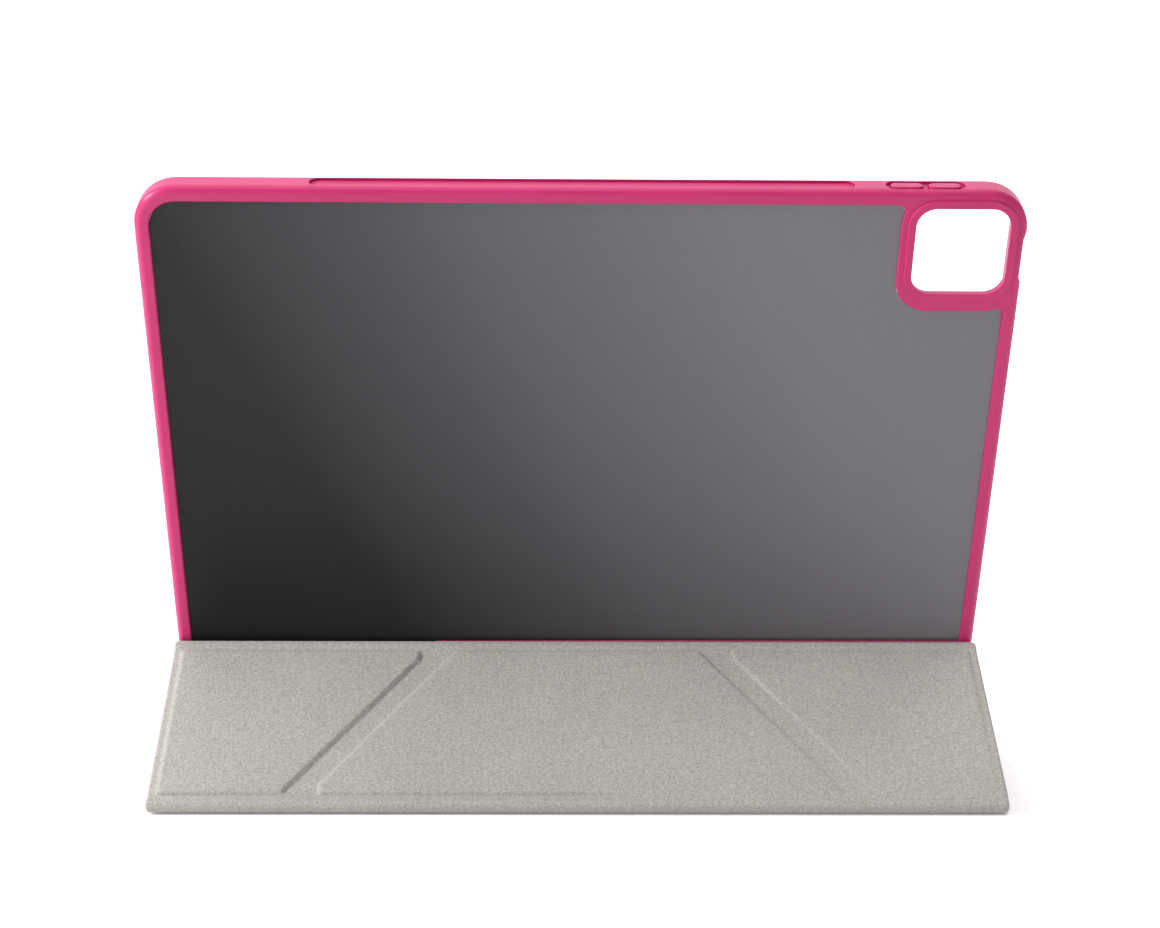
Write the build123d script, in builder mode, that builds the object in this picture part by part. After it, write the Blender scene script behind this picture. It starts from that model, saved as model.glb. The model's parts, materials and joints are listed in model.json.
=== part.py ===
"""Tablet case with a three-panel folding cover, stood up as a low triangular stand.

Row frame in millimetres: +X right and +Z up for someone looking at the case's back along +Y.
The origin is on the floor face under the cover's floor panel. The holder leans towards -Y.
"""
from build123d import *
import os
from math import acos, cos, degrees, radians, sin

# ---- driving dimensions -------------------------------------------------------------------
CASE_W = 285.0           # holder width
CASE_H = 219.3           # holder height, measured up its leaning back
CASE_T = 9.6             # holder thickness
CORNER_R = 14.0          # holder outline corners
BACK_EDGE_R = 2.6        # rounding along the back edge
FRONT_EDGE_R = 1.8       # rounding along the screen edge
WALL = 2.0
BACK_LIP_W = 5.0         # how far the rim laps over the clear back
BACK_LIP_T = 1.6
FRONT_LIP_W = 4.2        # how far the rim laps over the screen border
FRONT_LIP_T = 1.4
LEAN = 21.0              # degrees from vertical

PANE_RECESS = 0.7        # clear back below the rim
PANE_T = 0.9
PANE_GAP = 0.05

CAMERA_X = 121.5
CAMERA_DOWN = 20.9       # camera window centre below the top edge
CAMERA_W = 30.2
CAMERA_R = 6.4
COLLAR_RIM = 3.0         # raised collar round the camera window
COLLAR_UP = 0.9
COLLAR_TAPER = 12        # degrees
COLLAR_EDGE_R = 0.35
LIP_EDGE_R = 0.6         # rounding of the rim's edge over the clear back
SHIELD_X = (101.7, 141.5)       # moulded corner round the camera, left and right
SHIELD_DOWN = (0.5, 42.8)       # its top and bottom below the top edge
SHIELD_R = 11.0
SHIELD_FILLET = 2.2

STYLUS_L = 173.0         # charging groove for a stylus in the top wall
STYLUS_W = 6.0
STYLUS_DEEP = 0.8
KEY_L = 10.3             # moulded volume keys
KEY_W = 3.6
KEY_PROUD = 0.1
KEY_TRAVEL = 0.5
KEY_GAP = 0.3
KEY_EDGE_R = 0.5
KEY_XS = {"volume_up_key": 102.9, "volume_down_key": 115.1}
KEY_POCKET = (25.4, 5.6, 0.9)   # length, width, depth
POWER_DOWN = 23.6        # power key slot centre below the top edge, right wall
POWER_RECESS = (20.5, 8.8, 1.1)  # length, width, depth; wide enough to step the outline in
POWER_SLOT = (17.0, 4.6)
PORT_SLOT = (15.0, 6.2)  # charging port slot in the left wall
SPEAKER_SLOT = (24.0, 2.6)
SPEAKER_OFF = 52.0

COVER_W = 286.0
PANEL_T = 2.8
SKIN_T = 0.6
BOARD_T = 1.1
SPINE_T = 1.2
SPINE_SKIN_T = 0.7
SPINE_W = 256.0
STAND_DEPTH = 81.3       # holder's bottom back edge to the front fold
STRUT_L = 72.5           # front fold to ridge
FLAP_L = 65.7            # ridge to free edge, doubled back under the strut
RIDGE_GAP = 0.35         # ridge fold to the holder's back
FOLD_GAP = 1.3           # panel end to fold axis
FOLD_R = 0.9
FOLD_SLACK = 0.15        # half the gap between the doubled strut and flap
FREE_CORNER_R = 12.0
SQUARE_CORNER_R = 1.5

BOARD_MARGIN = 3.2
SPINE_START = 1.1        # spine strip's ends short of its two fold axes
SPINE_END = 0.8
SPINE_FOLD_R = 0.5
CREASE_X = (142.0, 96.0, 46.0, 2.0)   # diagonal creases at hinge, front fold, ridge, free edge
CREASE_HALF = 5.0        # half the diagonal gap between boards, measured along X
BOARD_TIP = 2.0          # narrowest end a board may taper to
CREASE_CLIP = 3.6        # acute board corners are cut square over this length

MAGNET_SIZE = (22.0, 5.0)
MAGNET_T = 0.9
MAGNET_X = 122.0

HINGE_IN = 3.0           # hinge bead in from the back face
HINGE_DROP = 1.15        # hinge bead below the bottom wall
BEAD_R = 0.55
NECK_W = 0.7
HINGE_OVER = 1.0         # hinge line to hinge line, past the holder's thickness

# ---- places worked out from them ------------------------------------------------------------
lean = radians(LEAN)
up_y, up_z = -sin(lean), cos(lean)            # up the holder's back
in_y, in_z = cos(lean), sin(lean)             # from the back towards the screen
hinge_z = SPINE_T / 2
corner_z = hinge_z + HINGE_DROP * up_z - HINGE_IN * in_z
SPINE_L = CASE_T + HINGE_OVER - HINGE_IN
hinge_from_corner = -HINGE_DROP * up_y + HINGE_IN * in_y
FLOOR_L = STAND_DEPTH + hinge_from_corner - SPINE_L

# The strut's slope puts the rounded ridge RIDGE_GAP from the holder's back.
RIDGE_R = PANEL_T + FOLD_SLACK
fold_up = PANEL_T - corner_z
reach = STAND_DEPTH * cos(lean) - fold_up * sin(lean) - RIDGE_R - RIDGE_GAP
SLOPE = LEAN + degrees(acos(reach / STRUT_L))
slope = radians(SLOPE)

corner_y = FLOOR_L / 2 + SPINE_L - hinge_from_corner    # origin under the floor panel's middle
hinge_y = corner_y + hinge_from_corner
spine_y = hinge_y - SPINE_L
fold_y = spine_y - FLOOR_L
strut_dir = Vector(0, cos(slope), sin(slope))
ridge_y = fold_y + STRUT_L * cos(slope) + FOLD_SLACK * sin(slope)
ridge_z = PANEL_T + STRUT_L * sin(slope) - FOLD_SLACK * cos(slope)

# Planes: local x is +X, local y runs along the piece, local z points out of its outer face.
BACK = Plane((0, corner_y, corner_z), x_dir=(1, 0, 0), z_dir=(0, -in_y, -in_z))
FLOOR = Plane((0, spine_y, PANEL_T), x_dir=(1, 0, 0), z_dir=(0, 0, -1))
SPINE = Plane((0, hinge_y, SPINE_T), x_dir=(1, 0, 0), z_dir=(0, 0, -1))
STRUT = Plane((0, fold_y, PANEL_T), x_dir=(1, 0, 0), z_dir=(0, -sin(slope), cos(slope)))
FLAP = Plane((0, ridge_y, ridge_z), x_dir=(1, 0, 0), z_dir=(0, sin(slope), -cos(slope)))

OUTWARD = Axis((0, corner_y, corner_z), (0, -in_y, -in_z))


def wall_plane(side):
    """Plane on a holder wall's outer face, local x along the wall, z outwards."""
    middle = BACK.offset(-CASE_T / 2)
    if side == "top":
        origin = middle.from_local_coords((0, CASE_H, 0))
        return Plane(origin, x_dir=(1, 0, 0), z_dir=(0, up_y, up_z))
    sign = 1 if side == "right" else -1
    origin = middle.from_local_coords((sign * CASE_W / 2, 0, 0))
    return Plane(origin, x_dir=(0, up_y, up_z), z_dir=(sign, 0, 0))


def wall_slot(side, along, length, width, depth):
    """Solid of a round-ended slot, sunk from a holder wall's outer face."""
    with BuildPart() as slot:
        with BuildSketch(wall_plane(side)):
            with Locations((along, 0)):
                SlotOverall(length, width)
        extrude(amount=-depth)
    return slot.part


def window_outline(inset):
    """Outline of the clear back: a rounded rectangle with the camera corner taken out."""
    width = CASE_W - 2 * (BACK_LIP_W + inset)
    height = CASE_H - 2 * (BACK_LIP_W + inset)
    shield_w = SHIELD_X[1] - SHIELD_X[0] + 2 * inset
    shield_h = SHIELD_DOWN[1] - SHIELD_DOWN[0] + 2 * inset
    shield_at = (sum(SHIELD_X) / 2, CASE_H - sum(SHIELD_DOWN) / 2)
    with BuildSketch(mode=Mode.PRIVATE) as outline:
        with Locations((0, CASE_H / 2)):
            RectangleRounded(width, height, CORNER_R - BACK_LIP_W)
        with Locations(shield_at):
            RectangleRounded(shield_w, shield_h, SHIELD_R + inset, mode=Mode.SUBTRACT)
        on_top = outline.vertices().group_by(Axis.Y)[-1]
        on_side = outline.vertices().group_by(Axis.X)[-1]
        meets_rim = [on_top.sort_by(Axis.X)[-1], on_side.sort_by(Axis.Y)[-1]]
        fillet(meets_rim, SHIELD_FILLET)
    return outline.sketch


# ---- holder ---------------------------------------------------------------------------------
key_middle = sum(KEY_XS.values()) / len(KEY_XS)
key_hole = (KEY_L + 2 * KEY_GAP, KEY_W + 2 * KEY_GAP, WALL)
power_h = CASE_H - POWER_DOWN
wall_slots = [
    wall_slot("top", 0, STYLUS_L, STYLUS_W, STYLUS_DEEP),
    wall_slot("top", key_middle, *KEY_POCKET),
    wall_slot("right", power_h, *POWER_RECESS),
    wall_slot("right", power_h, *POWER_SLOT, WALL),
    wall_slot("left", CASE_H / 2, *PORT_SLOT, WALL),
]
wall_slots += [wall_slot("top", key_x, *key_hole) for key_x in KEY_XS.values()]
wall_slots += [wall_slot(side, CASE_H / 2 + off, *SPEAKER_SLOT, WALL)
               for side in ("left", "right") for off in (-SPEAKER_OFF, SPEAKER_OFF)]

with BuildPart() as bumper:
    with BuildSketch(BACK.offset(-CASE_T)):
        with Locations((0, CASE_H / 2)):
            RectangleRounded(CASE_W, CASE_H, CORNER_R)
    extrude(amount=CASE_T)
    fillet(bumper.faces().sort_by(OUTWARD)[-1].edges(), BACK_EDGE_R)
    fillet(bumper.faces().sort_by(OUTWARD)[0].edges(), FRONT_EDGE_R)
    with BuildSketch(BACK.offset(-BACK_LIP_T)):
        with Locations((0, CASE_H / 2)):
            RectangleRounded(CASE_W - 2 * WALL, CASE_H - 2 * WALL, CORNER_R - WALL)
    extrude(amount=-(CASE_T - BACK_LIP_T - FRONT_LIP_T), mode=Mode.SUBTRACT)
    with BuildSketch(BACK):
        add(window_outline(0))
    extrude(amount=-BACK_LIP_T, mode=Mode.SUBTRACT)
    fillet(bumper.faces().sort_by(OUTWARD)[-1].inner_wires().edges(), LIP_EDGE_R)
    with BuildSketch(BACK.offset(-CASE_T)):
        with Locations((0, CASE_H / 2)):
            RectangleRounded(CASE_W - 2 * FRONT_LIP_W, CASE_H - 2 * FRONT_LIP_W, CORNER_R - FRONT_LIP_W)
    extrude(amount=FRONT_LIP_T, mode=Mode.SUBTRACT)
    # Raised collar and the camera window through it.
    with BuildSketch(BACK.offset(-BACK_LIP_T)):
        with Locations((CAMERA_X, CASE_H - CAMERA_DOWN)):
            RectangleRounded(CAMERA_W + 2 * COLLAR_RIM, CAMERA_W + 2 * COLLAR_RIM, CAMERA_R + COLLAR_RIM)
    extrude(amount=BACK_LIP_T + COLLAR_UP, taper=COLLAR_TAPER)
    with BuildSketch(BACK.offset(COLLAR_UP)):
        with Locations((CAMERA_X, CASE_H - CAMERA_DOWN)):
            RectangleRounded(CAMERA_W, CAMERA_W, CAMERA_R)
    extrude(amount=-(COLLAR_UP + BACK_LIP_T), mode=Mode.SUBTRACT)
    fillet(bumper.faces().sort_by(OUTWARD)[-1].edges(), COLLAR_EDGE_R)
    # Stylus groove, volume key pocket, and the slots through the walls.
    add(wall_slots, mode=Mode.SUBTRACT)

with BuildPart() as back_panel:
    with BuildSketch(BACK.offset(-PANE_RECESS)):
        add(window_outline(PANE_GAP))
    extrude(amount=-PANE_T)

with BuildPart() as hinge_bead:
    bead_plane = Plane((-SPINE_W / 2, hinge_y, hinge_z), x_dir=(0, up_y, up_z), z_dir=(1, 0, 0))
    with BuildSketch(bead_plane):
        Circle(BEAD_R)
        with Locations((HINGE_DROP / 2, 0)):
            Rectangle(HINGE_DROP, NECK_W)
    extrude(amount=SPINE_W)

parts = {"bumper": bumper.part, "back_panel": back_panel.part, "hinge_bead": hinge_bead.part}

for key_name, key_x in KEY_XS.items():
    with BuildPart() as key:
        with BuildSketch(wall_plane("top").offset(-WALL)):
            with Locations((key_x, 0)):
                SlotOverall(KEY_L, KEY_W)
        extrude(amount=WALL + KEY_PROUD)
        crown = key.faces().sort_by(Axis((0, 0, 0), (0, up_y, up_z)))[-1]
        fillet(crown.edges(), KEY_EDGE_R)
    parts[key_name] = key.part


# ---- cover ----------------------------------------------------------------------------------
def crease(y, length, ends):
    """X of the right-hand diagonal crease at distance y along a panel."""
    return ends[0] + (ends[1] - ends[0]) * y / length


def board_outlines(length, ends):
    """Corner points of a panel's left, centre and right boards."""
    low = BOARD_MARGIN
    high = length - BOARD_MARGIN
    edge = COVER_W / 2 - BOARD_MARGIN
    rate = (ends[0] - ends[1]) / length
    start = max(low, (ends[0] + CREASE_HALF + BOARD_TIP - edge) / rate)
    outer = crease(high - CREASE_CLIP, length, ends) + CREASE_HALF
    right = [(crease(start, length, ends) + CREASE_HALF, start), (outer, high - CREASE_CLIP),
             (outer, high), (edge, high), (edge, start)]
    inner_low = min(edge, crease(low + CREASE_CLIP, length, ends) - CREASE_HALF)
    tip = min(high, (ends[0] - CREASE_HALF - BOARD_TIP) / rate)
    inner_high = crease(tip, length, ends) - CREASE_HALF
    centre = [(inner_low, low), (inner_low, low + CREASE_CLIP), (inner_high, tip),
              (-inner_high, tip), (-inner_low, low + CREASE_CLIP), (-inner_low, low)]
    left = [(-x, y) for x, y in right]
    return {"left": left, "centre": centre, "right": right}


def slab(plane, z_low, z_high, y_low, y_high, corner_low, corner_high):
    """A panel layer with its own radius at each end's corners."""
    with BuildPart() as layer:
        with BuildSketch(plane.offset(z_low)):
            with BuildLine():
                Polyline((-COVER_W / 2, y_low), (COVER_W / 2, y_low), (COVER_W / 2, y_high),
                         (-COVER_W / 2, y_high), close=True)
            outline = make_face()
            low_corners = outline.vertices().group_by(Axis.Y)[0]
            high_corners = outline.vertices().group_by(Axis.Y)[-1]
            if corner_low:
                fillet(low_corners, corner_low)
            if corner_high:
                fillet(high_corners, corner_high)
        extrude(amount=z_high - z_low)
    return layer.part


def panel(name, plane, length, y_low, y_high, z_base, corner_low, corner_high, ends):
    """Skin, boards and lining of one cover panel, added to parts."""
    skin_z = z_base + SKIN_T
    parts[name + "_skin"] = slab(plane, z_base, skin_z, y_low, y_high, corner_low, corner_high)
    boards = []
    for side, points in board_outlines(length, ends).items():
        with BuildPart() as board:
            with BuildSketch(plane.offset(skin_z)):
                with BuildLine():
                    Polyline(*points, close=True)
                make_face()
            extrude(amount=BOARD_T)
        parts[f"{name}_board_{side}"] = board.part
        boards.append(board.part)
    with BuildPart() as lining:
        add(slab(plane, skin_z, z_base + PANEL_T, y_low, y_high, corner_low, corner_high))
        add(boards, mode=Mode.SUBTRACT)
    parts[name + "_lining"] = lining.part


def fold_rod(name, y, z, radius, width):
    """The roll of cloth along a fold line."""
    with BuildPart() as rod:
        with BuildSketch(Plane((-width / 2, y, z), x_dir=(0, 1, 0), z_dir=(1, 0, 0))):
            Circle(radius)
        extrude(amount=width)
    parts[name] = rod.part


def magnets(name, plane, z_low, spots, size):
    """A row of bar magnets let into the boards of a panel."""
    with BuildPart() as bars:
        with BuildSketch(plane.offset(z_low)):
            with Locations(*spots):
                Rectangle(*size)
        extrude(amount=MAGNET_T)
    parts[name] = bars.part
    for board_name in [key for key in parts if key.startswith(name.split("_")[0] + "_board")]:
        with BuildPart() as drilled:
            add(parts[board_name])
            add(bars.part, mode=Mode.SUBTRACT)
        parts[board_name] = drilled.part


# Spine strip: skin above, lining on the floor.
for layer, z_low, z_high in (("skin", 0, SPINE_SKIN_T), ("lining", SPINE_SKIN_T, SPINE_T)):
    with BuildPart() as strip:
        with BuildSketch(SPINE.offset(z_low)):
            with Locations((0, SPINE_L / 2 + (SPINE_START - SPINE_END) / 2)):
                Rectangle(SPINE_W, SPINE_L - SPINE_START - SPINE_END)
        extrude(amount=z_high - z_low)
    parts["spine_" + layer] = strip.part
fold_rod("spine_fold", spine_y, hinge_z, SPINE_FOLD_R, SPINE_W)

panel("floor", FLOOR, FLOOR_L, FOLD_GAP, FLOOR_L - FOLD_GAP, 0,
      FREE_CORNER_R, SQUARE_CORNER_R, CREASE_X[0:2])
fold_rod("front_fold", fold_y, PANEL_T, FOLD_R, COVER_W)
panel("strut", STRUT, STRUT_L, FOLD_GAP, STRUT_L, 0,
      SQUARE_CORNER_R, 0, CREASE_X[1:3])
panel("flap", FLAP, FLAP_L, 0, FLAP_L, FOLD_SLACK,
      0, FREE_CORNER_R, CREASE_X[2:4])
with BuildPart() as ridge_fold:
    ridge_plane = Plane((-COVER_W / 2, ridge_y, ridge_z), x_dir=strut_dir, z_dir=(1, 0, 0))
    with BuildSketch(ridge_plane):
        Circle(RIDGE_R)
        with Locations((-RIDGE_R, 0)):
            Rectangle(2 * RIDGE_R, 2 * RIDGE_R, mode=Mode.SUBTRACT)
    extrude(amount=COVER_W)
parts["ridge_fold"] = ridge_fold.part

magnet_y = FLAP_L - BOARD_MARGIN - 2 * MAGNET_SIZE[1]
magnets("flap_magnets", FLAP, FOLD_SLACK + SKIN_T,
        [(x, magnet_y) for x in (-MAGNET_X, MAGNET_X)], MAGNET_SIZE)
magnets("floor_magnets", FLOOR, SKIN_T,
        [(x, FLOOR_L - BOARD_MARGIN - 2 * MAGNET_SIZE[1]) for x in (-MAGNET_X, MAGNET_X)], MAGNET_SIZE)

# ---- write every piece ----------------------------------------------------------------------
os.makedirs("parts", exist_ok=True)
for part_name, solid in parts.items():
    solid.label = part_name
    export_step(solid, f"parts/{part_name}.step")
print("slope", round(SLOPE, 3), "corner", corner_y, corner_z, "hinge", hinge_y, hinge_z)
print("spine", spine_y, "fold", fold_y, PANEL_T, "ridge", ridge_y, ridge_z)
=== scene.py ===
"""Looks of the tablet case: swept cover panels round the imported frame, materials, lights and camera."""
import bmesh
import bpy
import json
import math
import numpy as np
from mathutils import Matrix, Vector


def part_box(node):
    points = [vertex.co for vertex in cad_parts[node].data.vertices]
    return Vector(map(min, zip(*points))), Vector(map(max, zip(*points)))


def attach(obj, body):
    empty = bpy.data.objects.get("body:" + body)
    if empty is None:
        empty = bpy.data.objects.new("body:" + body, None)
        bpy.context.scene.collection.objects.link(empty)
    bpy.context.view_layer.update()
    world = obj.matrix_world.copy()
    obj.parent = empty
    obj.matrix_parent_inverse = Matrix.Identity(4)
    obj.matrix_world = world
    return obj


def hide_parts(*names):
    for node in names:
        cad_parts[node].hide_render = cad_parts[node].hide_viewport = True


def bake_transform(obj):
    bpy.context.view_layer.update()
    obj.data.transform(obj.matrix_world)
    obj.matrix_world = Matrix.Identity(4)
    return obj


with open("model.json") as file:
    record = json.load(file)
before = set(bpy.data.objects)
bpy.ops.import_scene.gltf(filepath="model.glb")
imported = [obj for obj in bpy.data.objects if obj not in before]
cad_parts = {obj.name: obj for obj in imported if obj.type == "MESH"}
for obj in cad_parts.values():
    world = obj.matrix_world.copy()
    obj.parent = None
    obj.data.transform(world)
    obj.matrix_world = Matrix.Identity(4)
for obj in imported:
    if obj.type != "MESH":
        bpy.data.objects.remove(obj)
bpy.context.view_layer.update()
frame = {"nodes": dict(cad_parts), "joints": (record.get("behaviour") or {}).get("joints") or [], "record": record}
MM = 0.001

# ---- sizes of the cover, in millimetres -----------------------------------------------------
PANEL_T = 2.8            # skin, boards and lining together
SKIN_T = 0.6
SPINE_T = 1.2            # the spine strip, skin and lining together
SPINE_SKIN_T = 0.7
FOLD_SLACK = 0.15        # half the gap between the doubled strut and flap
FLAP_SHORT = 6.0         # the flap ends at least this far from the front fold
HINGE_CLEAR = 0.7        # spine cloth's end short of the hinge axis
FOLD_CLEAR = 0.15        # the panels' cloth stops this short of the front fold's axis
CORNER_R = 12.0          # plan corners at the free edge and at the spine
EDGE_R = 1.1             # softness of the panels' edges
EDGE_SHARE = 0.8         # most of a sheet's thickness that its soft side edge takes
EDGE_STEPS = 6
END_SPACING = (0, 0.06, 0.2, 0.45, 0.75)    # stations across a soft end, in EDGE_R
THIN_END = 0.05          # thickness left at a sheet's soft end
THIN_SIDE = 0.02         # and the least height of its soft side

# stiffener boards, and the diagonal creases between them
BOARD_MARGIN = 3.2
BOARD_TIP = 2.0          # a board's point is cut off where it narrows to this
CREASE_HALF = 5.0
CREASE_CLIP = 3.6        # length of the clipped corner beside a crease
CREASE_X = {"floor": (142.0, 96.0), "strut": (96.0, 46.0), "flap": (46.0, 2.0)}

# cloth over the boards
RELIEF = 1.15            # how far the cloth sinks between boards
RELIEF_SOFT = 1.15       # width of a board's edge under the cloth
TAUT_RELIEF = 0.3        # share of the relief left where the cloth is pulled tight, on the right
TAUT_AT_RIDGE = 0.7      # strength of that pull at the ridge
TAUT_TO_FOLD = 0.55      # and how much it gains on the way down to the front fold
EVEN_PULL = 0.5          # place between the two that the hidden panels take all over
RIDGE_FLAT = 0.8         # the cloth is flat this close to the ridge
RIDGE_FADE = 3.5         # and its relief comes in over this length below that
FOLD_FADE = 3.0          # the relief fades over this length above the front fold
ROLL_DROP = 0.5          # the roll's cloth below the strut's, which runs down to meet it
ROLL_INNER = 0.03        # the roll's inner face from the fold's axis
WAVER = 0.05             # slow unevenness of the cloth
WAVER_RATE = (0.11, 0.17)                   # radians to a millimetre, across and along
WAVER_PHASE = (1.3, 0.4)
PILLOW = 0.10            # rise of the cloth towards a board's middle
PILLOW_REACH = 12.0      # which it reaches this far in from the board's edge

# turned edge of the skin behind the ridge
SEAM_R = 0.3
SEAM_PROUD = 0.28        # how far it stands clear of the cloth at its right end
SEAM_RISE = 0.4          # share of its length over which it rises
SEAM_ANGLE = 62.0        # degrees up from level, seen along X
SEAM_FROM = -0.35        # its left end, in half widths of the cover
SEAM_SPAN = 1.335        # its length, in half widths

# mesh spacing
SHOWN_STEP = 0.75        # on the strut's face
HIDDEN_STEP = 2.0        # on the roll, and on the panels that lie out of sight
SPINE_STEP = 4.0
SPINE_ROWS = 40
RIDGE_TURNS = 18
ROLL_TURNS = 20
SEAM_ROWS = 60
SEAM_SIDES = 12
SMOOTH_ANGLE = 50        # degrees, over which an edge is sharp

DOWN = 1.5 * math.pi     # angle of a normal that points at the floor

joints = {j["name"]: j for j in frame["joints"]}


def joint_yz(name):
    """(y, z) of a hinge axis in millimetres."""
    return joints[name]["pos_m"][1] / MM, joints[name]["pos_m"][2] / MM


fold_y, fold_z = joint_yz("front_fold_hinge")
spine_y = joint_yz("spine_fold_hinge")[0]
hinge_y = joint_yz("cover_hinge")[0]
slope = math.radians(180 - joints["front_fold_hinge"]["range_deg"][1])
strut_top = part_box("strut_skin")[1]
half_w = strut_top.x / MM
strut_l = math.hypot(strut_top.y / MM - fold_y, strut_top.z / MM - fold_z)
floor_l = spine_y - fold_y
floor_start = spine_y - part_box("floor_skin")[1].y / MM
ridge_y = fold_y + strut_l * math.cos(slope) + FOLD_SLACK * math.sin(slope)
ridge_z = fold_z + strut_l * math.sin(slope) - FOLD_SLACK * math.cos(slope)
flap_low_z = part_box("flap_skin")[0].z / MM
flap_reach = (ridge_z - flap_low_z - FOLD_SLACK * math.cos(slope)) / math.sin(slope)
flap_l = min(flap_reach, strut_l - FLAP_SHORT)


# ---- relief of the boards under the cloth ------------------------------------------------------
def crease(y, length, ends):
    """X of the right-hand diagonal crease at distance y along a panel."""
    return ends[0] + (ends[1] - ends[0]) * y / length


def board_outlines(panel, length):
    """Corner points of a panel's three boards, as in the frame."""
    ends = CREASE_X[panel]
    low, high, edge = BOARD_MARGIN, length - BOARD_MARGIN, half_w - BOARD_MARGIN
    rate = (ends[0] - ends[1]) / length
    start = max(low, (ends[0] + CREASE_HALF + BOARD_TIP - edge) / rate)
    outer = crease(high - CREASE_CLIP, length, ends) + CREASE_HALF
    right = [(crease(start, length, ends) + CREASE_HALF, start), (outer, high - CREASE_CLIP),
             (outer, high), (edge, high), (edge, start)]
    inner_low = min(edge, crease(low + CREASE_CLIP, length, ends) - CREASE_HALF)
    tip = min(high, (ends[0] - CREASE_HALF - BOARD_TIP) / rate)
    inner_high = crease(tip, length, ends) - CREASE_HALF
    centre = [(inner_low, low), (inner_low, low + CREASE_CLIP), (inner_high, tip),
              (-inner_high, tip), (-inner_low, low + CREASE_CLIP), (-inner_low, low)]
    return [right, centre, [(-x, y) for x, y in right]]


def inside_distance(px, py, outline):
    """Distance into a closed outline, positive inside, for arrays of points."""
    nearest = np.full(px.shape, 1e9)
    inside = np.zeros(px.shape, bool)
    for (ax, ay), (bx, by) in zip(outline, outline[1:] + outline[:1]):
        ex, ey = bx - ax, by - ay
        along = np.clip(((px - ax) * ex + (py - ay) * ey) / (ex * ex + ey * ey), 0, 1)
        nearest = np.minimum(nearest, np.hypot(px - ax - along * ex, py - ay - along * ey))
        crosses = (ay > py) != (by > py)
        at_x = ax + (py - ay) * ex / np.where(ey == 0, 1e-9, ey)
        inside ^= crosses & (px < at_x)
    return np.where(inside, nearest, -nearest)


def eased(t):
    """0 to 1 with level ends."""
    return t * t * (3 - 2 * t)


def board_relief(panel, length, px, py):
    """Height of the cloth over a panel: about 0 over the boards, sunk between them."""
    best = np.full(px.shape, -1e9)
    for outline in board_outlines(panel, length):
        best = np.maximum(best, inside_distance(px, py, outline))
    over_board = eased(np.clip((best + RELIEF_SOFT / 2) / RELIEF_SOFT, 0, 1))
    rightwards = np.clip(px / CREASE_X["strut"][0], 0, 1)
    fold_share = 1 - py / length if panel == "strut" else EVEN_PULL
    pull = np.clip(2 * rightwards, 0, 1) * (TAUT_AT_RIDGE + TAUT_TO_FOLD * fold_share)
    share = 1 - (1 - TAUT_RELIEF) * pull
    if panel == "strut":
        share = share * np.clip((length - py - RIDGE_FLAT) / RIDGE_FADE, 0, 1)
    waver = (WAVER * np.sin(px * WAVER_RATE[0] + WAVER_PHASE[0])
             * np.sin(py * WAVER_RATE[1] + WAVER_PHASE[1]))
    pillow = PILLOW * np.clip(best / PILLOW_REACH, 0, 1)
    height = -RELIEF * share * (1 - over_board) + waver + pillow - PILLOW
    if panel == "strut":
        rise = eased(np.clip(py / FOLD_FADE, 0, 1))
        height = height * rise - ROLL_DROP * (1 - rise)
    return height


# ---- swept cloth -------------------------------------------------------------------------------
def panel_stations(origin, angle, distances, panel, length):
    """Stations (y, z, normal angle, panel, distance, length) along one flat panel."""
    oy, oz = origin
    return [(oy + d * math.cos(angle), oz + d * math.sin(angle), angle + math.pi / 2,
             panel, d, length) for d in distances]


def spaced(start, end, step):
    """Distances from start to end, finer at both ends for the soft edges."""
    count = max(2, round(abs(end - start) / step))
    sign = 1 if end > start else -1
    first = [start + sign * EDGE_R * e for e in END_SPACING]
    last = [end - sign * EDGE_R * e for e in reversed(END_SPACING)]
    middle = np.linspace(start + sign * EDGE_R, end - sign * EDGE_R, count)
    return first + list(middle) + last


def half_width(station, corner_at):
    """Half width of a station, narrowed where the panel has round plan corners."""
    panel, distance = station[3:5]
    if corner_at is None or panel != corner_at[0]:
        return half_w
    gap = CORNER_R - abs(distance - corner_at[1])
    if gap <= 0:
        return half_w
    return half_w - (CORNER_R - math.sqrt(max(CORNER_R ** 2 - gap ** 2, 0)))


def soft_end(gap, top, low):
    """Outer level near a free end, rounded over EDGE_R."""
    if gap >= EDGE_R:
        return top
    drop = EDGE_R - math.sqrt(max(EDGE_R ** 2 - (EDGE_R - gap) ** 2, 0))
    return max(top - drop, low + THIN_END)


def added(name, data):
    """New object in the scene."""
    made = bpy.data.objects.new(name, data)
    bpy.context.scene.collection.objects.link(made)
    return made


def grid_piece(name, rows):
    """Mesh from rows of points, each row a closed loop, with flat ends."""
    count = len(rows[0])
    points = np.concatenate(rows) * MM
    faces = []
    for r in range(len(rows) - 1):
        base = r * count
        for c in range(count):
            d = (c + 1) % count
            faces.append((base + c, base + d, base + count + d, base + count + c))
    faces.append(tuple(range(count))[::-1])
    faces.append(tuple(range((len(rows) - 1) * count, len(rows) * count)))
    mesh = bpy.data.meshes.new(name)
    mesh.from_pydata([tuple(p) for p in points], [], faces)
    mesh.validate()
    mesh.update()
    piece = added(name, mesh)
    bm = bmesh.new()
    bm.from_mesh(mesh)
    bmesh.ops.remove_doubles(bm, verts=bm.verts, dist=1e-6)
    bmesh.ops.recalc_face_normals(bm, faces=bm.faces)
    bm.to_mesh(mesh)
    bm.free()
    for polygon in mesh.polygons:
        polygon.use_smooth = True
    mesh.set_sharp_from_angle(angle=math.radians(SMOOTH_ANGLE))
    return piece


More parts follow.
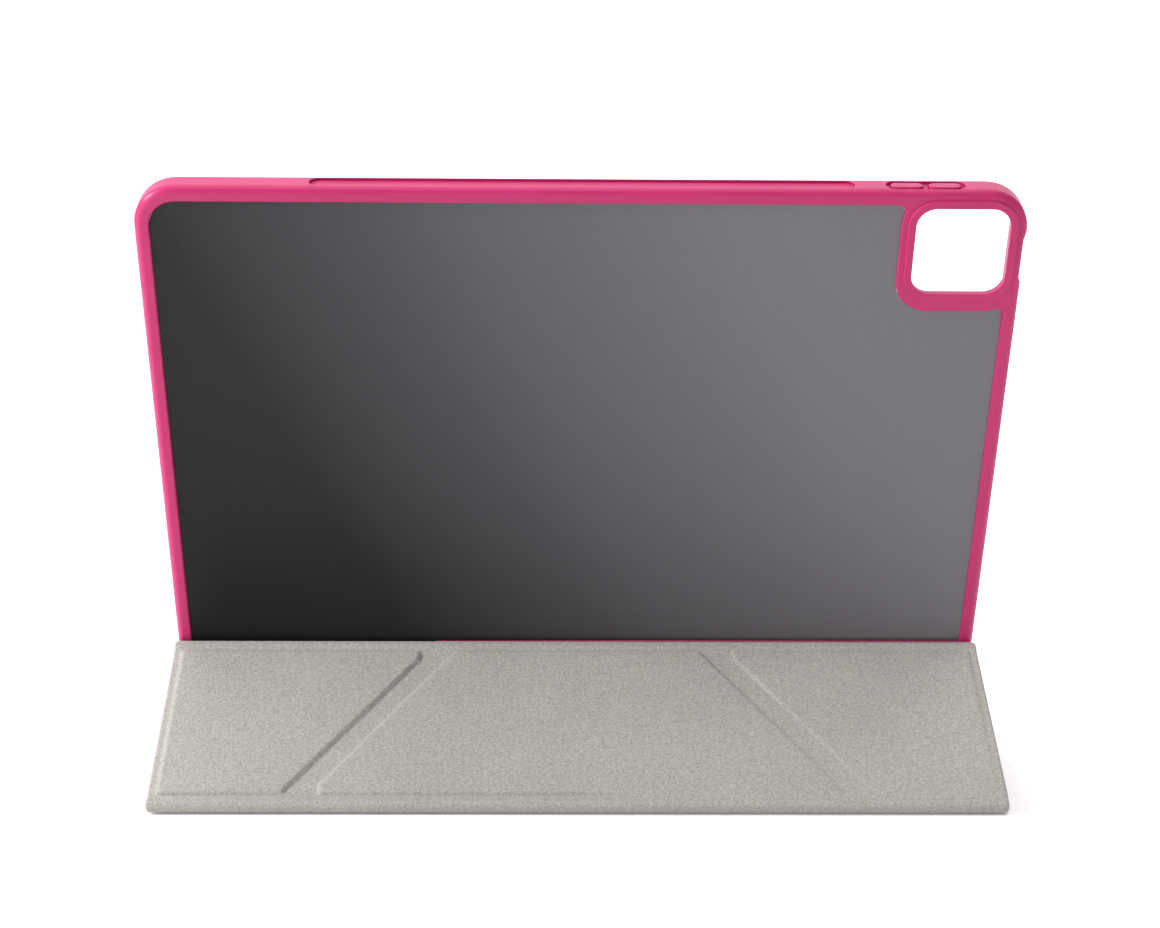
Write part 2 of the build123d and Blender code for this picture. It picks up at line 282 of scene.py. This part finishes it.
def sweep(name, stations, levels, free_ends=(None, None), corner_at=None, relief=True,
          step=SHOWN_STEP, full=None):
    """Closed sheet between two levels above a path of stations, across the whole cover."""
    low, top = levels
    full = full or half_w
    across = np.linspace(-1, 1, max(8, int(2 * full / step)))
    turn = np.linspace(0, math.pi / 2, EDGE_STEPS)[:-1]
    edge = min(EDGE_R, abs(top - low) * EDGE_SHARE)
    rows = []
    for station in stations:
        y, z, normal, panel, distance, length = station
        width = min(full, half_width(station, corner_at))
        outer = top
        for end in free_ends:
            if end is not None and panel == end[0]:
                outer = min(outer, soft_end(abs(distance - end[1]), top, low))
        inner = width - edge
        flat = np.clip(across * full, -inner, inner)
        height = np.full(flat.shape, outer)
        if relief and panel is not None:
            height = height + board_relief(panel, length, flat, np.full(flat.shape, distance))
        left, right = height[0], height[-1]
        span = max(min(edge, left - low), THIN_SIDE)
        side = [(edge * math.cos(a), span * math.sin(a)) for a in turn]
        xs = np.array([-width] + [-inner - out for out, _ in side] + list(flat)
                      + [inner + out for out, _ in reversed(side)] + [width])
        hs = np.array([low] + [left - span + up for _, up in side] + list(height)
                      + [right - span + up for _, up in reversed(side)] + [low])
        rows.append(np.column_stack([xs, y + hs * math.cos(normal), z + hs * math.sin(normal)]))
    return grid_piece(name, rows)


def doubled_path(flap_step, strut_step):
    """Stations from the flap's free edge, round the ridge and down the strut to the front fold."""
    flap = panel_stations((ridge_y, ridge_z), slope + math.pi, spaced(flap_l, 0.0, flap_step),
                          "flap", flap_l)
    turns = [slope + math.pi * (k / RIDGE_TURNS - 0.5) for k in range(1, RIDGE_TURNS)]
    ridge = [(ridge_y, ridge_z, a, None, 0.0, 1.0) for a in turns]
    start = (fold_y + FOLD_SLACK * math.sin(slope), fold_z - FOLD_SLACK * math.cos(slope))
    strut = panel_stations(start, slope, spaced(strut_l, FOLD_CLEAR, strut_step), "strut", strut_l)
    return flap + ridge + strut


def floor_path(step):
    """Stations along the floor panel from its spine end to the front fold."""
    distances = spaced(floor_start, floor_l - FOLD_CLEAR, step)
    return panel_stations((spine_y, fold_z), math.pi, distances, "floor", floor_l)


# ---- materials ---------------------------------------------------------------------------------
def material(name):
    """New node material, its shader, and a helper that adds nodes."""
    made = bpy.data.materials.new(name)
    made.use_nodes = True
    tree = made.node_tree
    shader = tree.nodes["Principled BSDF"]

    def node(kind, **values):
        new = tree.nodes.new(kind)
        for key, value in values.items():
            if key in new.inputs:
                new.inputs[key].default_value = value
            else:
                setattr(new, key, value)
        return new
    return made, tree.links.new, shader, node


def noise(node, link, scale, detail=3.0, rough=0.5):
    """Noise in the object's own metres."""
    place = node("ShaderNodeTexCoord")
    new = node("ShaderNodeTexNoise", Scale=scale, Detail=detail, Roughness=rough)
    link(place.outputs["Object"], new.inputs["Vector"])
    return new


def ramp(node, link, source, stops):
    """Colour ramp over a node's output, stops as (place, colour)."""
    new = node("ShaderNodeValToRGB")
    elements = new.color_ramp.elements
    while len(elements) < len(stops):
        elements.new(0.5)
    for element, (place, colour) in zip(elements, stops):
        element.position = place
        element.color = (*colour, 1)
    link(source, new.inputs["Fac"])
    return new


def multiply(node, link, first, second):
    """Product of two colours."""
    mixed = node("ShaderNodeMix", data_type="RGBA", blend_type="MULTIPLY")
    mixed.inputs["Factor"].default_value = 1.0
    link(first, mixed.inputs["A"])
    link(second, mixed.inputs["B"])
    return mixed.outputs["Result"]


def uneven_roughness(node, link, shader, source, least, most):
    """Roughness that follows a node's output between two values."""
    rough = node("ShaderNodeMapRange")
    rough.inputs["To Min"].default_value = least
    rough.inputs["To Max"].default_value = most
    link(source, rough.inputs["Value"])
    link(rough.outputs["Result"], shader.inputs["Roughness"])


def bump(node, link, shader, layers):
    """Chain of bumps, each (height output, strength, distance in metres)."""
    last = None
    for height, strength, distance in layers:
        new = node("ShaderNodeBump", Strength=strength, Distance=distance)
        link(height, new.inputs["Height"])
        if last is not None:
            link(last.outputs["Normal"], new.inputs["Normal"])
        last = new
    link(last.outputs["Normal"], shader.inputs["Normal"])


def rim_material():
    """Satin moulded TPU."""
    made, link, shader, node = material("rim_tpu")
    cloud = noise(node, link, 35, 2)
    grain = noise(node, link, 2600, 2)
    colour = ramp(node, link, cloud.outputs["Fac"],
                  [(0.3, (0.468, 0.019, 0.124)), (0.7, (0.505, 0.023, 0.138))])
    link(colour.outputs["Color"], shader.inputs["Base Color"])
    uneven_roughness(node, link, shader, cloud.outputs["Fac"], 0.34, 0.46)
    shader.inputs["Subsurface Weight"].default_value = 0.12
    shader.inputs["Subsurface Radius"].default_value = (0.004, 0.001, 0.001)
    shader.inputs["Subsurface Scale"].default_value = 0.5
    shader.inputs["Specular IOR Level"].default_value = 0.32
    bump(node, link, shader, [(grain.outputs["Fac"], 0.12, 0.00005)])
    return made


def lining_material():
    """Brushed grey microfibre with a fine mottle."""
    made, link, shader, node = material("lining_microfibre")
    mottle = noise(node, link, 1300, 4, 0.7)
    broad = noise(node, link, 26, 3)
    nap = noise(node, link, 4200, 2, 0.6)
    fine = ramp(node, link, mottle.outputs["Fac"],
                [(0.34, (0.290, 0.276, 0.257)), (0.5, (0.378, 0.361, 0.338)),
                 (0.66, (0.480, 0.460, 0.434))])
    wide = ramp(node, link, broad.outputs["Fac"],
                [(0.3, (0.93, 0.93, 0.93)), (0.7, (1.0, 1.0, 1.0))])
    link(multiply(node, link, fine.outputs["Color"], wide.outputs["Color"]),
         shader.inputs["Base Color"])
    shader.inputs["Roughness"].default_value = 0.95
    shader.inputs["Specular IOR Level"].default_value = 0.15
    shader.inputs["Sheen Weight"].default_value = 0.12
    shader.inputs["Sheen Roughness"].default_value = 0.5
    bump(node, link, shader, [(mottle.outputs["Fac"], 0.45, 0.00025),
                              (nap.outputs["Fac"], 0.3, 0.0001)])
    return made


def skin_material():
    """Fine-grained synthetic leather."""
    made, link, shader, node = material("cover_skin_leather")
    place = node("ShaderNodeTexCoord")
    cells = node("ShaderNodeTexVoronoi", Scale=900.0, feature="DISTANCE_TO_EDGE")
    link(place.outputs["Object"], cells.inputs["Vector"])
    cloud = noise(node, link, 40, 3)
    colour = ramp(node, link, cloud.outputs["Fac"],
                  [(0.3, (0.47, 0.024, 0.122)), (0.7, (0.52, 0.030, 0.142))])
    link(colour.outputs["Color"], shader.inputs["Base Color"])
    shader.inputs["Roughness"].default_value = 0.55
    crease_height = node("ShaderNodeMath", operation="MINIMUM")
    crease_height.inputs[1].default_value = 0.12
    link(cells.outputs["Distance"], crease_height.inputs[0])
    bump(node, link, shader, [(crease_height.outputs["Value"], 0.5, 0.00012)])
    return made


def smoke_material():
    """Smoke-tinted hard back with a satin face, opaque, with a painted reflection: darker towards the lower left,
    lighter to the right.
    """
    made, link, shader, node = material("clear_back_smoke")
    cloud = noise(node, link, 6, 2)
    place = node("ShaderNodeTexCoord")
    # painted reflection and shade: the tint runs by place on the back, from dark at the lower left to light at the
    # upper right
    along = node("ShaderNodeVectorMath", operation="DOT_PRODUCT")
    along.inputs[1].default_value = (1.0, 0.0, 0.5)
    link(place.outputs["Object"], along.inputs[0])
    painted_reflection_fade = node("ShaderNodeMapRange")
    painted_reflection_fade.inputs["From Min"].default_value = -0.10
    painted_reflection_fade.inputs["From Max"].default_value = 0.17
    link(along.outputs["Value"], painted_reflection_fade.inputs["Value"])
    colour = ramp(node, link, painted_reflection_fade.outputs["Result"],
                  [(0.03, (0.012, 0.012, 0.012)), (0.226, (0.019, 0.0185, 0.020)),
                   (0.476, (0.070, 0.067, 0.072)), (0.578, (0.100, 0.096, 0.103)),
                   (0.904, (0.168, 0.163, 0.173)), (1.0, (0.176, 0.171, 0.182))])
    satin = noise(node, link, 1700, 2, 0.6)
    sparkle = ramp(node, link, satin.outputs["Fac"],
                   [(0.3, (0.90, 0.90, 0.90)), (0.7, (1.0, 1.0, 1.0))])
    link(multiply(node, link, colour.outputs["Color"], sparkle.outputs["Color"]),
         shader.inputs["Base Color"])
    uneven_roughness(node, link, shader, cloud.outputs["Fac"], 0.36, 0.42)
    shader.inputs["Specular IOR Level"].default_value = 0.15
    speck = noise(node, link, 3000, 1)
    bump(node, link, shader, [(speck.outputs["Fac"], 0.06, 0.00003)])
    return made


def board_material():
    """Pressed grey board."""
    made, link, shader, node = material("board_grey")
    fibres = noise(node, link, 700, 5, 0.7)
    colour = ramp(node, link, fibres.outputs["Fac"],
                  [(0.3, (0.22, 0.19, 0.15)), (0.7, (0.36, 0.32, 0.26))])
    link(colour.outputs["Color"], shader.inputs["Base Color"])
    shader.inputs["Roughness"].default_value = 0.9
    bump(node, link, shader, [(fibres.outputs["Fac"], 0.3, 0.0001)])
    return made


def magnet_material():
    """Nickel-plated magnet."""
    made, link, shader, node = material("magnet_nickel")
    scuffs = noise(node, link, 500, 4)
    colour = ramp(node, link, scuffs.outputs["Fac"],
                  [(0.3, (0.50, 0.49, 0.47)), (0.7, (0.62, 0.61, 0.59))])
    link(colour.outputs["Color"], shader.inputs["Base Color"])
    shader.inputs["Metallic"].default_value = 1.0
    shader.inputs["Roughness"].default_value = 0.3
    bump(node, link, shader, [(scuffs.outputs["Fac"], 0.1, 0.00002)])
    return made


def paint(piece, made):
    """Gives a piece one material in every slot."""
    piece.data.materials.clear()
    piece.data.materials.append(made)


# ---- cover pieces ------------------------------------------------------------------------------
RIM, LINING, SKIN = rim_material(), lining_material(), skin_material()
SMOKE, BOARD, MAGNET = smoke_material(), board_material(), magnet_material()
slot_materials = {"rim_tpu": RIM, "clear_back": SMOKE, "cover_skin": SKIN, "lining": LINING,
                  "board": BOARD, "magnet": MAGNET}
node_slots = {s["node"]: s["material_slot"] for s in frame["record"]["subparts"]}
for node_name, cad in frame["nodes"].items():
    paint(cad, slot_materials[node_slots[node_name]])

doubled_cloth = sweep("strut_and_flap_lining", doubled_path(HIDDEN_STEP, SHOWN_STEP),
                      (FOLD_SLACK + SKIN_T, FOLD_SLACK + PANEL_T),
                      free_ends=(("flap", flap_l), None), corner_at=("flap", flap_l))
doubled_skin = sweep("strut_and_flap_skin", doubled_path(HIDDEN_STEP, HIDDEN_STEP),
                     (FOLD_SLACK, FOLD_SLACK + SKIN_T), corner_at=("flap", flap_l),
                     relief=False, step=HIDDEN_STEP)
floor_cloth = sweep("floor_panel_lining", floor_path(HIDDEN_STEP), (SKIN_T, PANEL_T),
                    free_ends=(("floor", floor_start), None), corner_at=("floor", floor_start),
                    step=HIDDEN_STEP)
floor_skin = sweep("floor_panel_skin", floor_path(HIDDEN_STEP), (0.0, SKIN_T),
                   corner_at=("floor", floor_start), relief=False, step=HIDDEN_STEP)


def spine_path():
    """Stations along the spine strip, from the hinge into the floor panel's end."""
    start, end = hinge_y - HINGE_CLEAR, spine_y - floor_start - EDGE_R
    return [(y, SPINE_T, DOWN, None, 0.0, 1.0) for y in np.linspace(start, end, SPINE_ROWS)]


spine_half_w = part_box("spine_skin")[1].x / MM
spine_skin = sweep("spine_skin_strip", spine_path(), (0.0, SPINE_SKIN_T), relief=False,
                   step=SPINE_STEP, full=spine_half_w)
spine_lining = sweep("spine_lining_strip", spine_path(), (SPINE_SKIN_T, SPINE_T), relief=False,
                     step=SPINE_STEP, full=spine_half_w)


def ridge_seam():
    """The skin's turned edge, a fine bead that rises from behind the ridge towards the right."""
    angle = math.radians(SEAM_ANGLE)
    ring = [math.tau * k / SEAM_SIDES for k in range(SEAM_SIDES)]
    rows = []
    for share in np.linspace(0, 1, SEAM_ROWS):
        x = SEAM_FROM * half_w + share * SEAM_SPAN * half_w
        out = PANEL_T + FOLD_SLACK + SEAM_PROUD - SEAM_R * (1 - min(share / SEAM_RISE, 1))
        y, z = ridge_y + out * math.cos(angle), ridge_z + out * math.sin(angle)
        rows.append(np.array([(x, y + SEAM_R * math.cos(a), z + SEAM_R * math.sin(a))
                              for a in ring]))
    return grid_piece("ridge_skin_edge", rows)


seam = ridge_seam()


def roll_path():
    """Stations round the front fold, from the strut's face to the floor panel's underside."""
    first = slope + math.pi / 2
    return [(fold_y, fold_z, first + (DOWN - first) * k / ROLL_TURNS, None, 0.0, 1.0)
            for k in range(ROLL_TURNS + 1)]


front_roll = sweep("front_fold_lining", roll_path(), (ROLL_INNER, PANEL_T + FOLD_SLACK - ROLL_DROP),
                   relief=False, step=HIDDEN_STEP)

for piece, made, body, slot_name, stands_for in (
        (doubled_cloth, LINING, "strut", "lining", ("strut_lining", "flap_lining", "ridge_fold")),
        (doubled_skin, SKIN, "strut", "cover_skin", ("strut_skin", "flap_skin")),
        (floor_cloth, LINING, "floor_panel", "lining", ("floor_lining",)),
        (floor_skin, SKIN, "floor_panel", "cover_skin", ("floor_skin",)),
        (seam, SKIN, "strut", "cover_skin", ())):
    paint(piece, made)
    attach(piece, body)
    if stands_for:
        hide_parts(*stands_for)
for piece, made, slot_name, stands_for in (
        (spine_skin, SKIN, "cover_skin", ("spine_skin",)),
        (spine_lining, LINING, "lining", ("spine_lining", "spine_fold"))):
    paint(piece, made)
    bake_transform(piece)
    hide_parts(*stands_for)
paint(front_roll, LINING)
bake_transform(front_roll)
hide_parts("front_fold")


# ---- room, light and camera, in metres -------------------------------------------------------
PAPER_HALF = 8.0         # half width of the studio paper, and its height
PAPER_BEND_Y = 1.2       # where it starts to rise
PAPER_BEND_R = 0.8
PAPER_DROP = 0.0002      # below the case, so that no two faces coincide
CAMERA_PLACE = (-0.01219, -0.71713, 0.25011)
CAMERA_TURN = (11.020, 1.0006, 0.3818)      # degrees: down, to the right, and rolled
CAMERA_LENS = 66.81      # in millimetres, as is the sensor's width
CAMERA_SENSOR = 36.0
AIM = (0, 0.03, 0.08)    # what the lights on the case point at


def stage_floor():
    """Pale floor that sweeps up into a backdrop."""
    made, link, shader, node = material("studio_paper")
    cloud = noise(node, link, 3, 2)
    colour = ramp(node, link, cloud.outputs["Fac"],
                  [(0.3, (0.90, 0.90, 0.90)), (0.7, (0.93, 0.93, 0.93))])
    link(colour.outputs["Color"], shader.inputs["Base Color"])
    shader.inputs["Roughness"].default_value = 0.95
    shader.inputs["Specular IOR Level"].default_value = 0.1
    shader.inputs["Emission Color"].default_value = (1, 1, 1, 1)
    shader.inputs["Emission Strength"].default_value = 0.12
    profile = [(-PAPER_HALF, 0.0), (PAPER_BEND_Y, 0.0)]
    profile += [(PAPER_BEND_Y + PAPER_BEND_R * math.sin(a), PAPER_BEND_R - PAPER_BEND_R * math.cos(a))
                for a in np.linspace(0.1, math.pi / 2, 14)]
    profile.append((PAPER_BEND_Y + PAPER_BEND_R, PAPER_HALF))
    verts = [(x, y, z - PAPER_DROP) for y, z in profile for x in (-PAPER_HALF, PAPER_HALF)]
    faces = [(2 * k, 2 * k + 1, 2 * k + 3, 2 * k + 2) for k in range(len(profile) - 1)]
    mesh = bpy.data.meshes.new("studio_sweep")
    mesh.from_pydata(verts, [], faces)
    floor = added("studio_sweep", mesh)
    for polygon in mesh.polygons:
        polygon.use_smooth = True
    paint(floor, made)


def area_light(name, place, target, size, power):
    """Soft rectangular light aimed at a point."""
    data = bpy.data.lights.new(name, "AREA")
    data.shape = "RECTANGLE"
    data.size, data.size_y = size
    data.energy = power
    light = added(name, data)
    light.location = place
    light.rotation_mode = "QUATERNION"
    light.rotation_quaternion = (Vector(target) - Vector(place)).to_track_quat("-Z", "Y")


def studio_camera():
    """Camera behind the case, a little above it."""
    place = Vector(CAMERA_PLACE)
    pitch, yaw, roll = (math.radians(a) for a in CAMERA_TURN)
    look = Vector((math.sin(yaw) * math.cos(pitch), math.cos(yaw) * math.cos(pitch),
                   -math.sin(pitch)))
    right = look.cross(Vector((0, 0, 1))).normalized()
    over = right.cross(look)
    tilted_right = right * math.cos(roll) + over * math.sin(roll)
    tilted_up = over * math.cos(roll) - right * math.sin(roll)
    data = bpy.data.cameras.new("studio_camera")
    data.sensor_width = CAMERA_SENSOR
    data.lens = CAMERA_LENS
    data.clip_start = 0.01
    camera = added("studio_camera", data)
    turned = Matrix((tilted_right, tilted_up, -look)).transposed()
    camera.matrix_world = Matrix.Translation(place) @ turned.to_4x4()
    bpy.context.scene.camera = camera


scene = bpy.context.scene
scene.view_settings.view_transform = "Standard"
world = bpy.data.worlds.new("studio_air")
world.use_nodes = True
world.node_tree.nodes["Background"].inputs["Color"].default_value = (1, 1, 1, 1)
world.node_tree.nodes["Background"].inputs["Strength"].default_value = 0.36
scene.world = world
stage_floor()
area_light("key_left", (-1.25, -0.30, 0.75), AIM, (0.22, 0.22), 19)
area_light("top_soft", (0.0, -0.5, 1.4), AIM, (1.2, 0.8), 7.5)
area_light("front_left", (-1.1, -0.75, 0.35), AIM, (0.3, 0.5), 2.5)
area_light("backdrop_wash", (0.0, 0.6, 1.8), (0.0, 2.0, 0.7), (2.5, 0.6), 55)
studio_camera()
